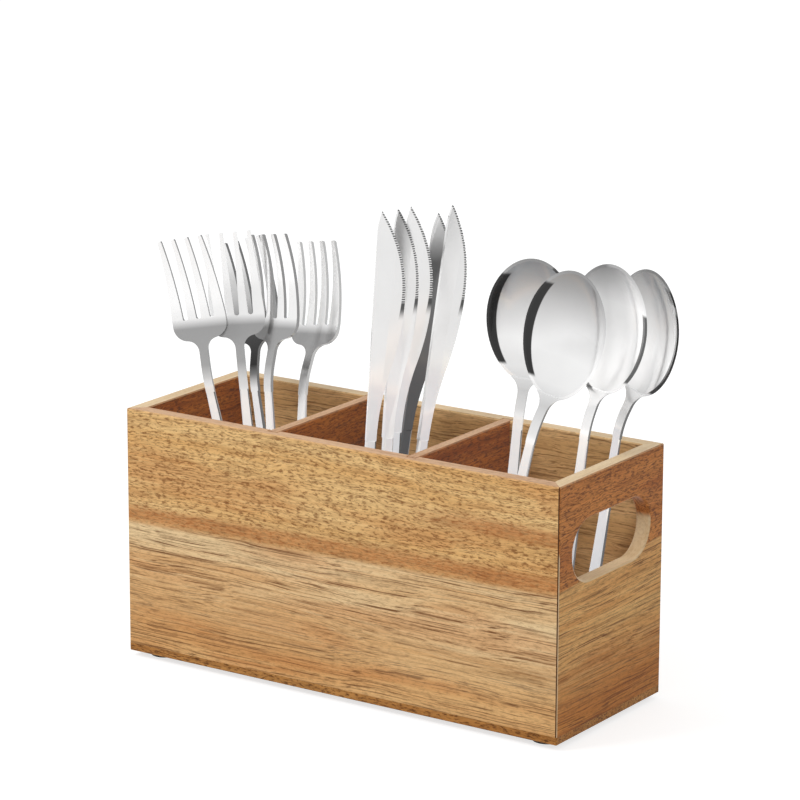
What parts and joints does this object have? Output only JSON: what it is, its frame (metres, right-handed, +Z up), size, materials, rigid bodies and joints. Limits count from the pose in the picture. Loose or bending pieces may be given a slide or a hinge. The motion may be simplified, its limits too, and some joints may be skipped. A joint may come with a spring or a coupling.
{
  "type": "utensil caddy",
  "caption": "Open wooden utensil caddy with dividers and an oval hand slot in each end, holding five steel forks, five dinner knives and four soup spoons.",
  "frame": {"origin": "middle of the caddy footprint on the table", "axes": "+X towards the right end seen from the front, +Y from front to back, +Z up"},
  "size_m": [0.2808, 0.0988, 0.2405],
  "materials": {
    "wood": "satin",
    "base_wood": "satin",
    "pad": "matt",
    "steel": "polished"
  },
  "bodies": {
    "caddy": {"base_board": "base_wood", "front_panel": "wood", "back_panel": "wood", "left_end_panel": "wood", "right_end_panel": "wood", "divider_left": "wood", "divider_right": "wood", "pad_front_left": "pad", "pad_front_right": "pad", "pad_back_left": "pad", "pad_back_right": "pad"},
    "fork_1": {"fork_1": "steel"},
    "fork_2": {"fork_2": "steel"},
    "fork_3": {"fork_3": "steel"},
    "fork_4": {"fork_4": "steel"},
    "fork_5": {"fork_5": "steel"},
    "knife_1": {"knife_1": "steel"},
    "knife_2": {"knife_2": "steel"},
    "knife_3": {"knife_3": "steel"},
    "knife_4": {"knife_4": "steel"},
    "knife_5": {"knife_5": "steel"},
    "spoon_1": {"spoon_1": "steel"},
    "spoon_2": {"spoon_2": "steel"},
    "spoon_3": {"spoon_3": "steel"},
    "spoon_4": {"spoon_4": "steel"}
  },
  "joints": [
    {"name": "fork_1_lift", "type": "slide", "parent": "caddy", "child": "fork_1", "axis": [-0.1866, -0.0746, 0.9796], "range_m": [0, 0.13]},
    {"name": "fork_2_lift", "type": "slide", "parent": "caddy", "child": "fork_2", "axis": [-0.1585, 0.0501, 0.9861], "range_m": [0, 0.13]},
    {"name": "fork_3_lift", "type": "slide", "parent": "caddy", "child": "fork_3", "axis": [-0.3068, 0.2477, 0.919], "range_m": [0, 0.13]},
    {"name": "fork_4_lift", "type": "slide", "parent": "caddy", "child": "fork_4", "axis": [-0.1455, 0.1729, 0.9741], "range_m": [0, 0.13]},
    {"name": "fork_5_lift", "type": "slide", "parent": "caddy", "child": "fork_5", "axis": [-0.1492, 0.3398, 0.9286], "range_m": [0, 0.13]},
    {"name": "knife_1_lift", "type": "slide", "parent": "caddy", "child": "knife_1", "axis": [0.0938, -0.0454, 0.9946], "range_m": [0, 0.13]},
    {"name": "knife_2_lift", "type": "slide", "parent": "caddy", "child": "knife_2", "axis": [0.0932, -0.0559, 0.9941], "range_m": [0, 0.13]},
    {"name": "knife_3_lift", "type": "slide", "parent": "caddy", "child": "knife_3", "axis": [0.1192, -0.0621, 0.9909], "range_m": [0, 0.13]},
    {"name": "knife_4_lift", "type": "slide", "parent": "caddy", "child": "knife_4", "axis": [0.216, -0.0806, 0.9731], "range_m": [0, 0.13]},
    {"name": "knife_5_lift", "type": "slide", "parent": "caddy", "child": "knife_5", "axis": [0.0833, 0.0968, 0.9918], "range_m": [0, 0.13]},
    {"name": "spoon_1_lift", "type": "slide", "parent": "caddy", "child": "spoon_1", "axis": [0.151, -0.0889, 0.9845], "range_m": [0, 0.13]},
    {"name": "spoon_2_lift", "type": "slide", "parent": "caddy", "child": "spoon_2", "axis": [0.224, 0.0634, 0.9725], "range_m": [0, 0.13]},
    {"name": "spoon_3_lift", "type": "slide", "parent": "caddy", "child": "spoon_3", "axis": [0.1435, 0.0017, 0.9897], "range_m": [0, 0.13]},
    {"name": "spoon_4_lift", "type": "slide", "parent": "caddy", "child": "spoon_4", "axis": [0.2196, -0.0744, 0.9728], "range_m": [0, 0.13]}
  ]
}
